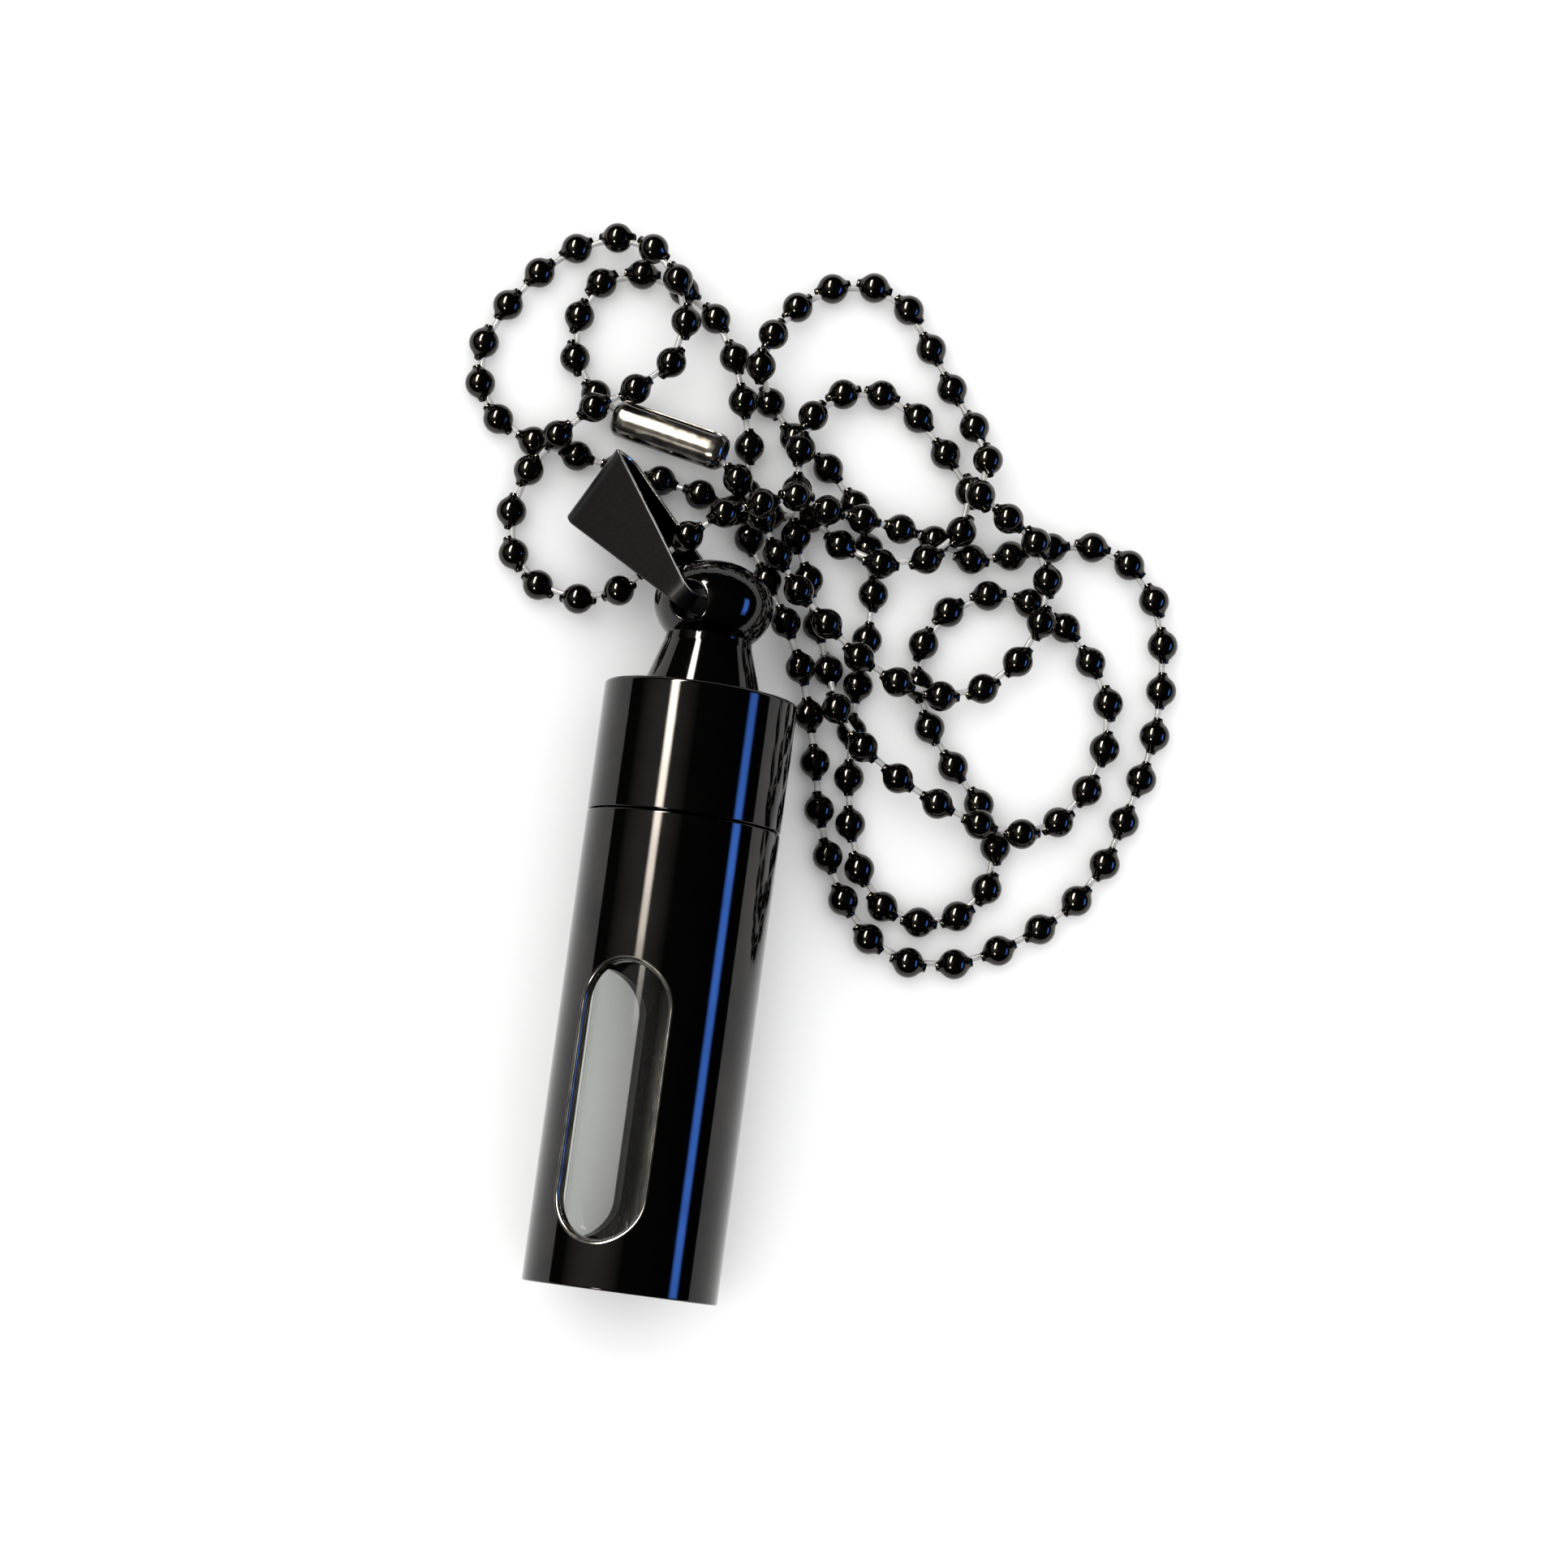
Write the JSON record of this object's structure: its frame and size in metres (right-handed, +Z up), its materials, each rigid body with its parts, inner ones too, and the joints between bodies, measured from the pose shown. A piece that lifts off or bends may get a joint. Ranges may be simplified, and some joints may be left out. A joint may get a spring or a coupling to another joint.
{
  "type": "capsule pendant necklace",
  "caption": "Screw-cap capsule pendant with a windowed black case and inner glass tube, on a folded bail and a black ball chain with a sleeve connector.",
  "frame": {"origin": "centre of the case's flat end face", "axes": "+Y along the pendant axis from the flat end towards the cap, +Z up from the table it lies on, +X to the right; the table is 7.5 mm below the origin"},
  "size_m": [0.0591, 0.0837, 0.015],
  "materials": {
    "black_metal": "mirror-polished black-coated stainless steel",
    "satin_black_metal": "satin charcoal-black coated sheet with polished edges",
    "silver_metal": "polished nickel-silver sheet",
    "clear_glass": "clear polished glass",
    "rubber": "matte black silicone rubber"
  },
  "bodies": {
    "chain": {"chain_run_01": "black_metal", "chain_run_02": "black_metal", "chain_run_03": "black_metal", "chain_run_06": "black_metal", "chain_run_07": "black_metal", "chain_run_08": "black_metal", "chain_run_09": "black_metal", "chain_run_12": "black_metal", "chain_run_13": "black_metal", "chain_run_14": "black_metal", "chain_run_15": "black_metal", "chain_run_16": "black_metal", "chain_run_19": "black_metal", "chain_run_22": "black_metal", "chain_run_23": "black_metal", "chain_run_27": "black_metal", "chain_run_28": "black_metal", "chain_run_29": "black_metal", "chain_run_30": "black_metal"},
    "swivel_bead_1": {"swivel_bead_1": "black_metal"},
    "top_loop": {"chain_run_04": "black_metal", "chain_run_05": "black_metal"},
    "swivel_bead_2": {"swivel_bead_2": "black_metal"},
    "swivel_bead_3": {"swivel_bead_3": "black_metal"},
    "swivel_bead_4": {"swivel_bead_4": "black_metal"},
    "inner_loop": {"chain_run_10": "black_metal", "chain_run_11": "black_metal"},
    "swivel_bead_5": {"swivel_bead_5": "black_metal"},
    "left_loop": {"chain_run_17": "black_metal", "chain_run_18": "black_metal"},
    "swivel_bead_6": {"swivel_bead_6": "black_metal"},
    "small_loop": {"chain_run_20": "black_metal", "chain_run_21": "black_metal"},
    "swivel_bead_7": {"swivel_bead_7": "black_metal"},
    "outer_loop": {"chain_run_24": "black_metal", "chain_run_25": "black_metal", "chain_run_26": "black_metal"},
    "swivel_bead_8": {"swivel_bead_8": "black_metal"},
    "swivel_bead_9": {"swivel_bead_9": "black_metal"},
    "swivel_bead_10": {"swivel_bead_10": "black_metal"},
    "bail": {"bail": "satin_black_metal"},
    "cap": {"cap": "black_metal", "finial": "black_metal", "upper_gasket": "rubber"},
    "vial": {"glass_tube": "clear_glass", "lower_gasket": "rubber"},
    "case": {"case": "black_metal"},
    "connector": {"connector": "silver_metal"}
  },
  "joints": [
    {"name": "bail_tilt", "type": "hinge", "parent": "chain", "child": "bail", "pos_m": [-0.00852, 0.06117, -0.00532], "axis": [0.5895, 0.7639, 0.2625], "range_deg": [-7, 0]},
    {"name": "pendant_swing", "type": "hinge", "parent": "bail", "child": "cap", "pos_m": [-0.00028, 0.05301, -0.00007], "axis": [-0.376, -0.028, 0.9262], "range_deg": [0, 25]},
    {"name": "case_travel", "type": "slide", "parent": "cap", "child": "vial", "axis": [0, -1, 0], "range_m": [0, 0.004]},
    {"name": "case_turn", "type": "hinge", "parent": "vial", "child": "case", "pos_m": [0, 0, 0], "axis": [0, -1, 0], "range_deg": [0, 1440]},
    {"name": "connector_spin", "type": "hinge", "parent": "chain", "child": "connector", "pos_m": [-0.00537, 0.06717, -0.0052], "axis": [0.9582, -0.2283, 0.1724], "continuous": true},
    {"name": "top_loop_lift", "type": "hinge", "parent": "chain", "child": "top_loop", "pos_m": [0.01979, 0.06857, -0.00488], "axis": [0.9214, -0.388, -0.0188], "range_deg": [0, 25]},
    {"name": "inner_loop_lift", "type": "hinge", "parent": "chain", "child": "inner_loop", "pos_m": [0.0276, 0.05631, -0.00628], "axis": [-0.082, -0.9938, 0.0758], "range_deg": [0, 18]},
    {"name": "left_loop_lift", "type": "hinge", "parent": "chain", "child": "left_loop", "pos_m": [-0.01605, 0.06544, -0.00627], "axis": [0.248, 0.9683, 0.031], "range_deg": [0, 30]},
    {"name": "small_loop_lift", "type": "hinge", "parent": "chain", "child": "small_loop", "pos_m": [-0.01412, 0.06589, -0.00471], "axis": [-0.4844, 0.8735, -0.0483], "range_deg": [0, 18]},
    {"name": "outer_loop_lift", "type": "hinge", "parent": "chain", "child": "outer_loop", "pos_m": [0.03201, 0.06197, -0.00627], "axis": [-0.5418, -0.8405, -0.0001], "range_deg": [0, 18]},
    {"name": "bead_spin_1", "type": "hinge", "parent": "chain", "child": "swivel_bead_1", "pos_m": [0.01174, 0.05151, -0.00424], "axis": [0.8485, -0.5233, -0.0793], "continuous": true},
    {"name": "bead_spin_2", "type": "hinge", "parent": "top_loop", "child": "swivel_bead_2", "pos_m": [0.01206, 0.08, -0.00627], "axis": [-0.765, 0.6441, -0.0002], "continuous": true},
    {"name": "bead_spin_3", "type": "hinge", "parent": "chain", "child": "swivel_bead_3", "pos_m": [0.00737, 0.06645, -0.00627], "axis": [0.7545, -0.6563, 0.0022], "continuous": true},
    {"name": "bead_spin_4", "type": "hinge", "parent": "chain", "child": "swivel_bead_4", "pos_m": [0.01281, 0.03859, -0.00628], "axis": [0.2412, -0.9705, 0.0002], "continuous": true},
    {"name": "bead_spin_5", "type": "hinge", "parent": "inner_loop", "child": "swivel_bead_5", "pos_m": [0.03188, 0.04717, -0.00627], "axis": [-0.1112, -0.9938, 0], "continuous": true},
    {"name": "bead_spin_6", "type": "hinge", "parent": "left_loop", "child": "swivel_bead_6", "pos_m": [-0.01959, 0.0761, -0.00627], "axis": [0.4987, 0.8668, 0.0001], "continuous": true},
    {"name": "bead_spin_7", "type": "hinge", "parent": "small_loop", "child": "swivel_bead_7", "pos_m": [-0.01636, 0.0563, -0.00628], "axis": [0.4621, -0.8868, 0.0014], "continuous": true},
    {"name": "bead_spin_8", "type": "hinge", "parent": "outer_loop", "child": "swivel_bead_8", "pos_m": [0.03566, 0.04871, -0.00627], "axis": [-0.0963, -0.9953, 0.0012], "continuous": true},
    {"name": "bead_spin_9", "type": "hinge", "parent": "outer_loop", "child": "swivel_bead_9", "pos_m": [0.02562, 0.03026, -0.00628], "axis": [-0.8683, -0.496, -0.0002], "continuous": true},
    {"name": "bead_spin_10", "type": "hinge", "parent": "chain", "child": "swivel_bead_10", "pos_m": [-0.01246, 0.07885, -0.00627], "axis": [-0.7443, -0.6679, 0.0006], "continuous": true}
  ],
  "couplings": [
    {"joint": "case_turn", "follows": "case_travel", "rad_per_m": 6283.2}
  ]
}
